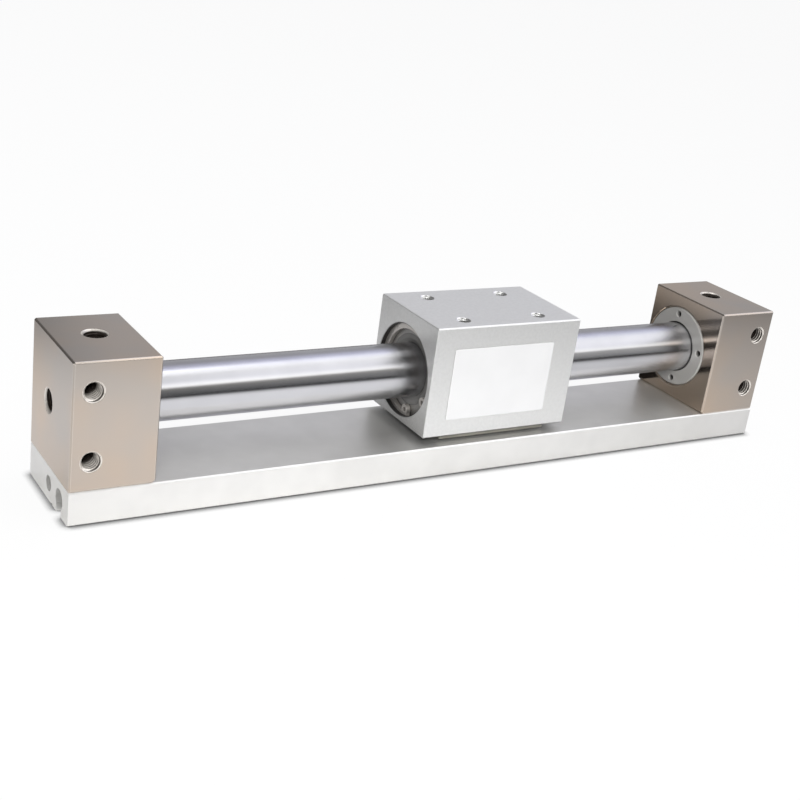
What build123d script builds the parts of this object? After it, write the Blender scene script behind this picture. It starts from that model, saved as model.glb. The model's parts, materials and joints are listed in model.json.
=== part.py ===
from build123d import *
import os
from math import cos, radians, sin, tan

# Magnetically coupled rodless cylinder on a switch rail, millimetres.
# Everything is modelled with the tube axis on X and the middle of the stroke at X = 0, then
# lifted so that the rail stands on Z = 0. -Y is the side of the mounting holes and the label.

# Stroke and tube
stroke = 100.0
tube_bore = 10.0
tube_wall = 1.0
end_gap = 2.0  # slider to cover at the end of the stroke
slider_from_left = 59.5  # stroke already used when the cylinder rests as pictured

# Fits
running_gap = 0.05  # radial play of wear rings, scrapers and seals
seat_gap = 0.05  # round pieces in their seats
float_gap = 0.35  # round pieces that must never touch the tube
stop_gap = 0.1  # air left between stops at the end of the stroke
recess_gap = 0.1  # rings laid in a wider recess
groove_side_gap = 0.1  # each side of a wear ring, scraper or seal in its groove
cutter_margin = 1.0  # how far a cutting tool reaches past the surface that it cuts

# End covers
cover_length = 17.0
axis_to_front = 13.8
axis_to_back = 10.6
axis_to_rail = 13.0
axis_to_top = 13.0
cover_edge = 0.3
cover_inner_bottom_edge = 0.6

# Ring that fixes each tube end in its cover
fixing_ring_radius = 9.8
fixing_ring_length = 4.5
fixing_ring_bore_gap = 0.3
spanner_circle_radius = 8.2
spanner_hole_radius = 0.75
spanner_hole_mouth_radius = 0.9
spanner_hole_depth = 2.5
spanner_hole_count = 4
spanner_first_angle = 6.7  # from straight up, towards the back
ring_edge = 0.25

# Snap ring, gasket and tube seat behind the fixing ring
tube_groove_depth = 0.4
tube_end_edge = 0.2
snap_ring_height = 1.8
snap_ring_thickness = 0.9
snap_ring_opening = 3.0
gasket_thickness = 1.3
gasket_sides = 8  # the round section is drawn with this many sides
gasket_groove_play = 0.3
gasket_land = 0.5  # metal between the snap ring's recess and the gasket groove
tube_seat_end_land = 1.2
chamber_radius = 3.0
chamber_length = 2.2

# Air ports, M5, cut at the thread's outer radius
port_radius = 2.5
port_mouth_radius = 2.6
port_depth = 4.5
port_passage_radius = 1.25
cross_passage_radius = 0.7
cross_passage_wall = 0.4
cross_passage_slant = 0.2
cross_passage_overlap = 0.5

# Mounting holes in the front face of the covers, M4, cut at the thread's outer radius
mount_hole_radius = 2.0
mount_hole_mouth_radius = 2.15
mount_hole_depth = 6.0
mount_hole_from_end = 4.0
mount_hole_spacing = 14.0

# Rail under the covers
rail_height = 7.0
rail_depth = 24.0
rail_top_edge = 0.3
rail_bottom_edge = 0.4
switch_groove_radius = 2.1
switch_groove_neck = 3.0
switch_groove_from_front = 5.5
switch_groove_height = 3.2
core_hole_radius = 1.6
core_hole_from_front = 12.0
mark_groove_from_front = 9.8
mark_groove_width = 1.0
mark_groove_depth = 0.5

# Cap screws from below, M3
screw_thread_radius = 1.25
screw_clearance_radius = 1.65
screw_head_radius = 2.75
screw_head_height = 2.8
screw_recess_radius = 3.0
screw_recess_depth = 3.1
screw_grip = 4.8
screw_hole_reserve = 0.4
screw_hole_mouth = 0.2
screw_head_edge = 0.3
screw_socket_flats = 2.5
screw_socket_depth = 1.4
screw_from_back = 5.4  # from the rail's back face
screw_places = (7.0, 13.5)  # from the cover's inner face

# Outer stack of the slider: ring magnets between yokes
yoke_count = 5
yoke_length = 2.0
magnet_length = 3.5
outer_yoke_wall = 3.95
outer_magnet_relief = 0.25

# Slider body
slider_length = 38.0
slider_side_wall = 1.55
slider_floor = 1.15
slider_roof = 3.4
slider_edge = 0.3
slider_end_edge = 0.15
slider_bore_edge = 0.25
slider_hole_radius = 1.5  # M3, cut at the thread's outer radius
slider_hole_mouth_radius = 1.7
slider_hole_depth = 4.0
slider_hole_spacing_x = 20.0
slider_hole_spacing_y = 15.0

# Slider ends: circlip, holder, scraper and wear ring
circlip_from_face = 1.2
circlip_thickness = 1.0
circlip_groove_depth = 0.55
circlip_play = 0.05
circlip_width = 1.5
circlip_taper = 0.3  # the ring is this much off centre, so that it narrows towards its ends
circlip_lug_radius = 1.15
circlip_lug_gap = 0.1
circlip_lug_turn = 5.0  # from the end of the ring to its lug
circlip_eye_radius = 0.5
circlip_gap_angle = 33.0  # from straight down, towards the front
circlip_half_opening = 20.0
scraper_length = 1.5
scraper_height = 1.9
scraper_lip = 0.45
slider_wear_wall = 0.8
slider_wear_split_angle = 150.0
wear_ring_split = 0.6

# Switch magnet under the slider and the label on its front
switch_magnet_length = 28.0
switch_magnet_depth = 5.0
switch_magnet_proud = 1.0
switch_magnet_sunk = 1.2
switch_magnet_from_front = 1.0
label_length = 26.3
label_height = 16.3
label_from_left = 5.1
label_from_bottom = 4.0
label_thickness = 0.12
label_corner = 0.5

# Piston inside the tube
piston_gap = 0.3
piston_shaft_radius = 1.5
piston_shaft_grip = 5.5
piston_shaft_edge = 0.3
inner_yoke_gap = 0.4
inner_magnet_relief = 0.1
piston_washer_length = 1.5
piston_wear_length = 3.0
piston_wear_wall = 0.72
piston_wear_split_angle = 20.0
piston_wear_from_washer = 1.6
piston_seal_length = 2.6
piston_seal_height = 1.5
piston_seal_notch = 1.0
piston_seal_from_bumper = 2.2
piston_seal_lip_back = 0.3
piston_seal_lip_edge = 0.2
piston_edge = 0.2
bumper_radius = 4.0
bumper_bore_radius = 2.2
bumper_proud = 2.0
bumper_sunk = 1.0
bumper_edge = 0.4

# Derived sizes
tube_radius = tube_bore / 2 + tube_wall
clear_length = stroke + slider_length + 2 * end_gap
inner_face = clear_length / 2
outer_face = inner_face + cover_length
axis_height = rail_height + axis_to_rail
rail_back = rail_depth - axis_to_front
screw_y = rail_back - screw_from_back

ring_recess_radius = fixing_ring_radius + recess_gap
snap_ring_inner = tube_radius - tube_groove_depth + seat_gap
snap_ring_outer = snap_ring_inner + snap_ring_height
snap_recess_radius = snap_ring_outer + recess_gap
snap_recess_length = snap_ring_thickness + recess_gap
gasket_groove_length = gasket_thickness + gasket_groove_play
gasket_groove_radius = tube_radius + gasket_thickness
gasket_from = fixing_ring_length + snap_recess_length + gasket_land
tube_seat_depth = gasket_from + gasket_groove_length + tube_seat_end_land
tube_seat_radius = tube_radius + seat_gap
chamber_end = tube_seat_depth + chamber_length

yoke_pitch = yoke_length + magnet_length
stack_half = (yoke_count * yoke_length + (yoke_count - 1) * magnet_length) / 2
outer_yoke_inner = tube_radius + float_gap
slider_bore_radius = outer_yoke_inner + outer_yoke_wall + seat_gap
slider_half_depth = slider_bore_radius + slider_side_wall
slider_top = slider_bore_radius + slider_roof
slider_bottom = -(slider_bore_radius + slider_floor)
slider_x = -inner_face + end_gap + slider_length / 2 + slider_from_left
circlip_out = slider_length / 2 - circlip_from_face
circlip_in = circlip_out - circlip_thickness
scraper_seat = circlip_in - scraper_length - groove_side_gap
slider_wear_length = scraper_seat - stack_half - 2 * groove_side_gap

bore_radius = tube_bore / 2
piston_radius = bore_radius - piston_gap
piston_end = slider_length / 2 + end_gap + tube_seat_depth - stop_gap
piston_face = piston_end - bumper_proud
piston_root = stack_half + piston_washer_length
shaft_half = piston_root + piston_shaft_grip
drill_tip = tan(radians(31))  # height of a 118 degree drill point over its radius

pieces = {}


def turned(*profile):
    """Revolve a closed outline of (x, radius) corners about the tube axis."""
    return revolve(make_face(Polyline(*profile, close=True)), Axis.X)


def ring(x_from, x_to, inner, outer, edge=0.0):
    """Ring about the tube axis, with its two outer corners broken by edge."""
    if edge == 0.0:
        return turned((x_from, inner), (x_to, inner), (x_to, outer), (x_from, outer))
    return turned(
        (x_from, inner),
        (x_to, inner),
        (x_to, outer - edge),
        (x_to - edge, outer),
        (x_from + edge, outer),
        (x_from, outer - edge),
    )


def block(x_from, x_to, y_from, y_to, z_from, z_to):
    """Box between two corners."""
    centre = ((x_from + x_to) / 2, (y_from + y_to) / 2, (z_from + z_to) / 2)
    return Pos(*centre) * Box(x_to - x_from, y_to - y_from, z_to - z_from)


def drilled(radius, depth, mouth_radius, pointed=True):
    """Hole going down from Z = 0: countersunk mouth, wall and, if pointed, a drill tip."""
    outline = [(0, cutter_margin), (mouth_radius, cutter_margin), (mouth_radius, 0)]
    if mouth_radius > radius:
        outline.append((radius, radius - mouth_radius))
    outline.append((radius, -depth))
    outline.append((0, -depth - (radius * drill_tip if pointed else 0)))
    corners = [(r, 0, z) for r, z in outline]
    return revolve(make_face(Polyline(*corners, close=True)), Axis.Z)


def rod_between(start, finish, radius):
    """Round bar from one point to another."""
    start, finish = Vector(*start), Vector(*finish)
    along = finish - start
    bar = Cylinder(radius, along.length, align=(Align.CENTER, Align.CENTER, Align.MIN))
    return Plane(origin=start, z_dir=along) * bar


def around(angle, radius):
    """Point of the YZ plane at an angle from straight up, turning towards the back."""
    return radius * sin(radians(angle)), radius * cos(radians(angle))


def both_ends(name, left_piece, x_centre=0.0):
    """Store a piece made for the left end, and its mirror image for the right end."""
    pieces[f"left_{name}"] = Pos(x_centre, 0, 0) * left_piece
    pieces[f"right_{name}"] = Pos(x_centre, 0, 0) * mirror(left_piece, about=Plane.YZ)


def left(depth):
    """X of a point in the left cover, depth beyond the cover's inner face."""
    return -(inner_face + depth)


# Switch rail: one extruded section with a keyhole groove for switches and a round core hole
def make_rail():
    front, back = -axis_to_front, rail_back
    top, bottom = -axis_to_rail, -axis_to_rail - rail_height
    low, high = rail_bottom_edge, rail_top_edge
    outline = Polyline(
        (front + low, bottom),
        (back - low, bottom),
        (back, bottom + low),
        (back, top - high),
        (back - high, top),
        (front + high, top),
        (front, top - high),
        (front, bottom + low),
        close=True,
    )
    groove_y = front + switch_groove_from_front
    groove_z = bottom + switch_groove_height
    mark_y = front + mark_groove_from_front
    mark = Polyline(
        (mark_y - mark_groove_width / 2, bottom),
        (mark_y + mark_groove_width / 2, bottom),
        (mark_y, bottom + mark_groove_depth),
        close=True,
    )
    section = make_face(outline)
    section -= Pos(groove_y, groove_z) * Circle(switch_groove_radius)
    section -= Pos(groove_y, bottom) * Rectangle(switch_groove_neck, 2 * switch_groove_height)
    section -= Pos(front + core_hole_from_front, bottom + rail_height / 2) * Circle(core_hole_radius)
    section -= make_face(mark)
    rail = extrude(Plane.YZ * section, outer_face, both=True)
    recess = drilled(screw_recess_radius, screw_recess_depth, screw_recess_radius, pointed=False)
    through = drilled(screw_clearance_radius, rail_height + cutter_margin, screw_clearance_radius)
    for x in screw_x_places():
        rail -= Pos(x, screw_y, bottom) * Rot(180, 0, 0) * (recess + through)
    return rail


def screw_x_places():
    """X of every cap screw, left cover first."""
    lefts = [left(place) for place in screw_places]
    return lefts + [-x for x in lefts]


# Cap screws that hold the covers on the rail, heads sunk in the underside
def make_screws():
    seat = -axis_to_rail - rail_height + screw_recess_depth
    tip = -axis_to_rail + screw_grip
    socket = RegularPolygon(screw_socket_flats / 2, 6, major_radius=False)
    head = Cylinder(screw_head_radius, screw_head_height, align=(Align.CENTER, Align.CENTER, Align.MAX))
    head = chamfer(head.edges().group_by(Axis.Z)[0], screw_head_edge)
    head -= Pos(0, 0, -screw_head_height) * extrude(socket, screw_socket_depth)
    shank = Cylinder(
        screw_thread_radius - seat_gap, tip - seat, align=(Align.CENTER, Align.CENTER, Align.MIN)
    )
    screw = head + shank
    return [Pos(x, screw_y, seat) * screw for x in screw_x_places()]


# Left end cover: a machined block, bored for the tube, with two ports and two mounting holes
def make_left_cover():
    corners = Polyline(
        (left(0), -axis_to_rail + cover_inner_bottom_edge),
        (left(0), axis_to_top),
        (left(cover_length), axis_to_top),
        (left(cover_length), -axis_to_rail),
        (left(0) - cover_inner_bottom_edge, -axis_to_rail),
        close=True,
    )
    profile = Plane.XZ * make_face(corners)
    cover = extrude(profile, axis_to_front) + extrude(profile, -axis_to_back)
    broken = cover.edges().filter_by(Axis.Y, reverse=True)
    broken += cover.edges().filter_by(Axis.Y).group_by(Axis.Z)[-1]
    cover = chamfer(broken, cover_edge)

    seat_steps = [
        (0, ring_recess_radius + ring_edge),
        (ring_edge, ring_recess_radius),
        (fixing_ring_length, ring_recess_radius),
        (fixing_ring_length, snap_recess_radius),
        (fixing_ring_length + snap_recess_length, snap_recess_radius),
        (fixing_ring_length + snap_recess_length, tube_seat_radius),
        (gasket_from, tube_seat_radius),
        (gasket_from, gasket_groove_radius),
        (gasket_from + gasket_groove_length, gasket_groove_radius),
        (gasket_from + gasket_groove_length, tube_seat_radius),
        (tube_seat_depth, tube_seat_radius),
        (tube_seat_depth, chamber_radius),
        (chamber_end, chamber_radius),
        (chamber_end, port_passage_radius),
        (cover_length - port_depth, port_passage_radius),
        (cover_length - port_depth, 0),
        (-cutter_margin, 0),
        (-cutter_margin, ring_recess_radius + ring_edge),
    ]
    cover -= turned(*[(left(depth), radius) for depth, radius in seat_steps])

    port = drilled(port_radius, port_depth, port_mouth_radius, pointed=False)
    cover -= Pos(left(cover_length), 0, 0) * Rot(0, -90, 0) * port
    cover -= Pos(left(cover_length / 2), 0, axis_to_top) * port
    passage_out = tube_seat_depth + cross_passage_wall + cross_passage_radius
    cover -= rod_between(
        (left(passage_out), 0, axis_to_top - port_depth + cross_passage_overlap),
        (left(passage_out + cross_passage_slant), 0, chamber_radius / 2),
        cross_passage_radius,
    )

    mount_hole = drilled(mount_hole_radius, mount_hole_depth, mount_hole_mouth_radius)
    for side in (-1, 1):
        z = side * mount_hole_spacing / 2
        place = Pos(left(cover_length - mount_hole_from_end), -axis_to_front, z)
        cover -= place * Rot(90, 0, 0) * mount_hole
    screw_hole = drilled(
        screw_thread_radius,
        screw_grip + screw_hole_reserve,
        screw_thread_radius + screw_hole_mouth,
    )
    for place in screw_places:
        cover -= Pos(left(place), screw_y, -axis_to_rail) * Rot(180, 0, 0) * screw_hole
    return cover


# Fixing ring, flush with the cover's inner face, with blind holes for a pin spanner
def make_left_fixing_ring():
    inner = tube_radius + fixing_ring_bore_gap
    fixing = ring(left(fixing_ring_length), left(0), inner, fixing_ring_radius, ring_edge)
    hole = drilled(spanner_hole_radius, spanner_hole_depth, spanner_hole_mouth_radius, pointed=False)
    for number in range(spanner_hole_count):
        y, z = around(spanner_first_angle + number * 360 / spanner_hole_count, spanner_circle_radius)
        fixing -= Pos(left(0), y, z) * Rot(0, 90, 0) * hole
    return fixing


# Snap ring in the tube's groove: the fixing ring clamps it against the cover
def make_left_snap_ring():
    x_out = left(fixing_ring_length + snap_recess_length)
    snap = ring(x_out, x_out + snap_ring_thickness, snap_ring_inner, snap_ring_outer)
    opening = block(
        x_out - cutter_margin,
        x_out + snap_ring_thickness + cutter_margin,
        -snap_ring_opening / 2,
        snap_ring_opening / 2,
        -snap_ring_outer - cutter_margin,
        0,
    )
    return snap - opening


# Gasket between tube and cover, pressed into the cover's groove
def make_left_gasket():
    centre = (left(gasket_from + gasket_groove_length / 2), tube_radius + gasket_thickness / 2)
    section = RegularPolygon(
        (gasket_thickness - seat_gap) / 2, gasket_sides, major_radius=False, rotation=180 / gasket_sides
    )
    return revolve(Pos(*centre) * section, Axis.X)


# Cylinder tube with a snap ring groove near each end
def make_tube():
    half = inner_face + tube_seat_depth - stop_gap
    tube = ring(-half, half, bore_radius, tube_radius, tube_end_edge)
    groove_out = inner_face + fixing_ring_length + snap_recess_length
    groove = ring(
        groove_out - snap_recess_length,
        groove_out,
        tube_radius - tube_groove_depth,
        tube_radius + cutter_margin,
    )
    return tube - groove - mirror(groove, about=Plane.YZ)


# Slider body: bored block with circlip grooves, top mounting holes and a seat for the magnet
def make_slider_body():
    half = slider_length / 2
    body = block(-half, half, -slider_half_depth, slider_half_depth, slider_bottom, slider_top)
    body = chamfer(body.edges().filter_by(Axis.X), slider_edge)
    ends = body.faces().filter_by(Axis.X)
    body = chamfer(ends.edges(), slider_end_edge)
    groove_radius = slider_bore_radius + circlip_groove_depth
    half_bore = [
        (0, 0),
        (half + cutter_margin, 0),
        (half + cutter_margin, slider_bore_radius + slider_bore_edge),
        (half, slider_bore_radius + slider_bore_edge),
        (half - slider_bore_edge, slider_bore_radius),
        (circlip_out + circlip_play, slider_bore_radius),
        (circlip_out + circlip_play, groove_radius),
        (circlip_in, groove_radius),
        (circlip_in, slider_bore_radius),
        (0, slider_bore_radius),
    ]
    bore = turned(*half_bore)
    body -= bore + mirror(bore, about=Plane.YZ)

    hole = drilled(slider_hole_radius, slider_hole_depth, slider_hole_mouth_radius)
    for place in GridLocations(slider_hole_spacing_x, slider_hole_spacing_y, 2, 2):
        body -= Pos(0, 0, slider_top) * place * hole
    body -= switch_magnet_block(seat_gap)
    return body


def switch_magnet_block(margin):
    """Block of the switch magnet, grown by margin on its sides and top."""
    half = switch_magnet_length / 2 + margin
    front = -slider_half_depth + switch_magnet_from_front
    return block(
        -half,
        half,
        front - margin,
        front + switch_magnet_depth + margin,
        slider_bottom - switch_magnet_proud,
        slider_bottom + switch_magnet_sunk + margin,
    )


# Label: a bare sheet on the slider's front
def make_label():
    x = -slider_length / 2 + label_from_left + label_length / 2
    z = slider_bottom + label_from_bottom + label_height / 2
    sheet = RectangleRounded(label_length, label_height, label_corner)
    return Pos(x, -slider_half_depth, z) * extrude(Plane.XZ * sheet, label_thickness)


# Magnets and yokes, alternating along the axis
def make_stack(prefix, yoke_radii, magnet_radii, x_centre):
    for number in range(yoke_count):
        start = -stack_half + number * yoke_pitch
        yoke = ring(start, start + yoke_length, *yoke_radii)
        pieces[f"{prefix}_yoke_{number + 1}"] = Pos(x_centre, 0, 0) * yoke
        if number < yoke_count - 1:
            magnet = ring(start + yoke_length, start + yoke_pitch, *magnet_radii)
            pieces[f"{prefix}_magnet_{number + 1}"] = Pos(x_centre, 0, 0) * magnet


# Circlip in the slider bore: a tapering open ring with a lug and an eye at each end
def make_left_circlip():
    outer = slider_bore_radius + circlip_groove_depth - circlip_play
    sheet = Circle(outer) - Pos(0, -circlip_taper) * Circle(outer - circlip_width)
    lug_circle = slider_bore_radius - circlip_lug_radius - circlip_lug_gap
    reach = 2 * outer
    half_gap = radians(circlip_half_opening)
    wedge = Polyline(
        (0, 0),
        (-reach * sin(half_gap), -reach * cos(half_gap)),
        (reach * sin(half_gap), -reach * cos(half_gap)),
        close=True,
    )
    sheet -= make_face(wedge)
    for side in (-1, 1):
        angle = radians(circlip_half_opening + circlip_lug_turn)
        place = Pos(side * lug_circle * sin(angle), -lug_circle * cos(angle))
        sheet += place * Circle(circlip_lug_radius)
        sheet -= place * Circle(circlip_eye_radius)
    sheet = Rot(0, 0, -circlip_gap_angle) * sheet
    return Pos(-circlip_out, 0, 0) * extrude(Plane.YZ * sheet, circlip_thickness - circlip_play)


# Holder behind the circlip: it closes the magnet stack and seats the scraper and the wear ring
def make_left_holder():
    wear_outer = tube_radius + running_gap + slider_wear_wall + seat_gap
    scraper_outer = tube_radius + running_gap + scraper_height + seat_gap
    return turned(
        (-stack_half, wear_outer),
        (-scraper_seat, wear_outer),
        (-scraper_seat, scraper_outer),
        (-circlip_in, scraper_outer),
        (-circlip_in, slider_bore_radius - seat_gap),
        (-stack_half, slider_bore_radius - seat_gap),
    )


def split(piece, angle):
    """Cut the narrow split of a wear ring, at an angle from straight up."""
    cutter = block(-outer_face, outer_face, -wear_ring_split / 2, wear_ring_split / 2, 0, outer_face)
    return piece - Rot(-angle, 0, 0) * cutter


# Wear ring that carries the slider on the tube
def make_left_slider_wear_ring():
    inner = tube_radius + running_gap
    start = -stack_half - groove_side_gap
    wear = ring(start - slider_wear_length, start, inner, inner + slider_wear_wall)
    return split(wear, slider_wear_split_angle)


# Scraper with its lip pointing out of the slider
def make_left_scraper():
    inner = tube_radius + running_gap
    outer = inner + scraper_height
    end = -circlip_in
    start = end + scraper_length
    return turned(
        (start, inner + scraper_lip),
        (start, outer),
        (end, outer),
        (end, inner + 2 * scraper_lip),
        (end + scraper_length / 4, inner),
        (end + scraper_length / 2, inner),
        (end + scraper_length * 0.75, inner + scraper_lip),
    )


# Shaft that strings the inner magnets, yokes, washers and pistons together
def make_shaft():
    return ring(-shaft_half, shaft_half, 0, piston_shaft_radius, piston_shaft_edge)


# Piston: turned brass, with grooves for its wear ring and seal and a recess for the bumper
def make_left_piston():
    hub = piston_shaft_radius + seat_gap
    wear_floor = bore_radius - running_gap - piston_wear_wall - seat_gap
    wear_from = piston_root + piston_wear_from_washer
    wear_to = wear_from + piston_wear_length + 2 * groove_side_gap
    seal_floor = bore_radius - running_gap - piston_seal_height - seat_gap
    seal_to = piston_face - piston_seal_from_bumper
    seal_from = seal_to - piston_seal_length - 2 * groove_side_gap
    bumper_seat = bumper_radius + seat_gap
    outline = [
        (piston_root, hub),
        (shaft_half + stop_gap, hub),
        (shaft_half + stop_gap, 0),
        (piston_face - bumper_sunk, 0),
        (piston_face - bumper_sunk, bumper_seat),
        (piston_face, bumper_seat),
        (piston_face, piston_radius - piston_edge),
        (piston_face - piston_edge, piston_radius),
        (seal_to, piston_radius),
        (seal_to, seal_floor),
        (seal_from, seal_floor),
        (seal_from, piston_radius),
        (wear_to, piston_radius),
        (wear_to, wear_floor),
        (wear_from, wear_floor),
        (wear_from, piston_radius),
        (piston_root, piston_radius),
    ]
    return turned(*[(-x, radius) for x, radius in outline])


# Piston wear ring, split so that it springs into its groove
def make_left_piston_wear_ring():
    outer = bore_radius - running_gap
    start = piston_root + piston_wear_from_washer + groove_side_gap
    wear = ring(-start - piston_wear_length, -start, outer - piston_wear_wall, outer)
    return split(wear, piston_wear_split_angle)


# Piston seal: a lip packing, open towards the pressure side
def make_left_piston_seal():
    outer = bore_radius - running_gap
    inner = outer - piston_seal_height
    end = -(piston_face - piston_seal_from_bumper - groove_side_gap)
    start = end + piston_seal_length
    return turned(
        (start, inner),
        (start, outer - piston_seal_lip_edge),
        (end + piston_seal_lip_back, outer),
        (end, outer - piston_seal_lip_edge),
        (end + piston_seal_notch, (inner + outer) / 2),
        (end, inner + piston_seal_lip_edge),
        (end + piston_seal_lip_back, inner),
    )


# Urethane bumper, seated in the piston's end
def make_left_bumper():
    return ring(-piston_end, -(piston_face - bumper_sunk), bumper_bore_radius, bumper_radius, bumper_edge)


pieces["switch_rail"] = make_rail()
pieces["rail_screws"] = Compound(make_screws())
pieces["cylinder_tube"] = make_tube()
both_ends("cover", make_left_cover())
both_ends("fixing_ring", make_left_fixing_ring())
both_ends("tube_snap_ring", make_left_snap_ring())
both_ends("tube_gasket", make_left_gasket())

pieces["slider_body"] = Pos(slider_x, 0, 0) * make_slider_body()
pieces["switch_magnet"] = Pos(slider_x, 0, 0) * switch_magnet_block(0.0)
pieces["label"] = Pos(slider_x, 0, 0) * make_label()
both_ends("circlip", make_left_circlip(), slider_x)
both_ends("end_holder", make_left_holder(), slider_x)
both_ends("slider_wear_ring", make_left_slider_wear_ring(), slider_x)
both_ends("scraper", make_left_scraper(), slider_x)
outer_radius = slider_bore_radius - seat_gap
make_stack(
    "outer",
    (outer_yoke_inner, outer_radius),
    (outer_yoke_inner + outer_magnet_relief, outer_radius),
    slider_x,
)

pieces["piston_shaft"] = Pos(slider_x, 0, 0) * make_shaft()
washer = ring(
    -piston_root, -stack_half, piston_shaft_radius + seat_gap, bore_radius - inner_yoke_gap
)
both_ends("piston_washer", washer, slider_x)
both_ends("piston", make_left_piston(), slider_x)
both_ends("piston_wear_ring", make_left_piston_wear_ring(), slider_x)
both_ends("piston_seal", make_left_piston_seal(), slider_x)
both_ends("bumper", make_left_bumper(), slider_x)
inner_radius = bore_radius - inner_yoke_gap
make_stack(
    "inner",
    (piston_shaft_radius + seat_gap, inner_radius),
    (piston_shaft_radius + seat_gap, inner_radius - inner_magnet_relief),
    slider_x,
)

os.makedirs("parts", exist_ok=True)
for name, piece in pieces.items():
    export_step(Pos(0, 0, axis_height) * piece, f"parts/{name}.step")
print(len(pieces), "nodes, tube axis at height", axis_height)
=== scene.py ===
"""Looks of the rodless cylinder: each piece's finish, the screw threads, the studio and the camera.

Lengths are in metres, and a name that ends in _mm holds millimetres. The tube lies along X, the
label faces -Y and the rail stands on Z = 0.
"""

import json
import logging
import math
from dataclasses import dataclass, replace
from enum import Enum

import bpy
import numpy as np
from mathutils import Matrix, Vector


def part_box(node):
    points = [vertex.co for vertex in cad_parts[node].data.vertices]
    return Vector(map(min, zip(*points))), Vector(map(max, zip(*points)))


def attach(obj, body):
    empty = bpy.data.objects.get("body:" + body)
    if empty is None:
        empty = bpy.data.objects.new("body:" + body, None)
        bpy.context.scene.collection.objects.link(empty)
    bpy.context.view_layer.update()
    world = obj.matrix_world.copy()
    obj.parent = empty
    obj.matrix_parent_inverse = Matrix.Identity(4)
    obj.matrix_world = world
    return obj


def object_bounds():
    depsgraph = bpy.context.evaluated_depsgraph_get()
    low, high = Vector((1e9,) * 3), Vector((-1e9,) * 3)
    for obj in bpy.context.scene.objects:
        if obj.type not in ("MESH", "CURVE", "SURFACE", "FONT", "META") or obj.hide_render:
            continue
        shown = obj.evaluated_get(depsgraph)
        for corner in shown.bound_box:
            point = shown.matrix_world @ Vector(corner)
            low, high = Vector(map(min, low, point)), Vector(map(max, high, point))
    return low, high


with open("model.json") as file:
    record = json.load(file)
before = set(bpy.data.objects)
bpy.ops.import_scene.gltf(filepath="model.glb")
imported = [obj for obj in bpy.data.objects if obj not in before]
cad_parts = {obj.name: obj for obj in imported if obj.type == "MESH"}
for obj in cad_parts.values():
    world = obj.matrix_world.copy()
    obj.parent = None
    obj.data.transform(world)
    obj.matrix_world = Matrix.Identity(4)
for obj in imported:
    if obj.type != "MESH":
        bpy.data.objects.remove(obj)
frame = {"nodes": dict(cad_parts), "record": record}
CAD_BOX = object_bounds()

LOG = logging.getLogger("rodless_cylinder")
MM = 0.001
RGBA = tuple[float, float, float, float]

# Measured on the CAD nodes: the tube's axis, and the bore of the slider's body
TUBE_LOW, TUBE_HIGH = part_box("cylinder_tube")
AXIS = (TUBE_LOW + TUBE_HIGH) / 2
HOLDER_LOW, HOLDER_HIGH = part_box("left_end_holder")
BORE_RADIUS = (HOLDER_HIGH.y - HOLDER_LOW.y) / 2

# Half the thickness of the skin that lines a hole
SKIN = 0.012 * MM
# Depth of a 118 degree drill's tip over its radius
DRILL_TIP = math.tan(math.radians(31.0))
# From the middle of a thread's crest, the crest ends and the flank meets the root at these shares
# of a pitch
CREST_END, FLANK_END = 1 / 8, 7 / 16
# Share of a pitch over which the last turn of a thread runs out
RUN_OUT = 0.5
FEWEST_ROWS = 16
# Mesh attribute that holds a hole's painted shade at each vertex
DARKNESS = "hole_darkness"

# Octaves of the fine and of the slow noise, and how much each octave keeps of the one before
GRAIN_OCTAVES, MOTTLE_OCTAVES, OCTAVE_SHARE = 3.0, 2.0, 0.6
# Noise values between which the mottle goes from one tone to the other, and between which the
# roughness goes over its spread
MOTTLE_ENDS, GRAIN_ENDS = (0.35, 0.65), (0.3, 0.7)
EVEN_STRETCH = (1.0, 1.0, 1.0)
# The lighter edge tone, partly rubbed metal and partly painted highlight, begins and is full where
# the true and the rounded normal have these likenesses
EDGE_START, EDGE_FULL = 1.0, 0.9
# How much the fine noise moves that likeness
UNEVEN_EDGE = 0.04
# How far outside the bore its painted shade begins, and where it is full
BORE_ENDS = (0.2 * MM, 0.1 * MM)
BEVEL_SAMPLES, CORNER_SHADE_SAMPLES, CONTACT_SAMPLES = 4, 6, 8
BLACK: RGBA = (0.0, 0.0, 0.0, 1.0)
WHITE: RGBA = (1.0, 1.0, 1.0, 1.0)


def to_linear(hex_colour: str) -> RGBA:
    """Turn an sRGB hex colour into the linear RGBA that shaders take.

    Args:
        hex_colour: six hex digits after a hash mark.

    Returns:
        Linear red, green and blue, with an alpha of one.
    """
    values = [int(hex_colour[i : i + 2], 16) / 255 for i in (1, 3, 5)]
    linear = [v / 12.92 if v <= 0.04045 else ((v + 0.055) / 1.055) ** 2.4 for v in values]
    return (linear[0], linear[1], linear[2], 1.0)


def add_node(
    tree: bpy.types.NodeTree,
    kind: str,
    settings: dict[str, object] | None = None,
    inputs: dict[str | int, object] | None = None,
) -> bpy.types.Node:
    """Add one shader node with its settings and its links.

    A colour Mix node's sockets have numbers: 0 is the share, 6 and 7 are the colours that it mixes
    and output 2 is the result.

    Args:
        tree: node tree that gets the node.
        kind: Blender's type name of the node.
        settings: attributes of the node.
        inputs: by socket, either the output socket to link from or a constant value.

    Returns:
        The new node.
    """
    node = tree.nodes.new(kind)
    for name, value in (settings or {}).items():
        setattr(node, name, value)
    for socket, value in (inputs or {}).items():
        if isinstance(value, bpy.types.NodeSocket):
            tree.links.new(value, node.inputs[socket])
        else:
            node.inputs[socket].default_value = value
    return node


class Grain(Enum):
    """How a surface was made, as the stretch of its fine relief along X, Y and Z."""

    BLASTED = (1.0, 1.0, 1.0)
    DRAWN = (0.04, 1.0, 1.0)
    TURNED = (1.0, 1.0, 0.0)
    MILLED = (0.5, 0.5, 0.06)
    MOULDED = (0.6, 0.6, 0.6)


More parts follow.
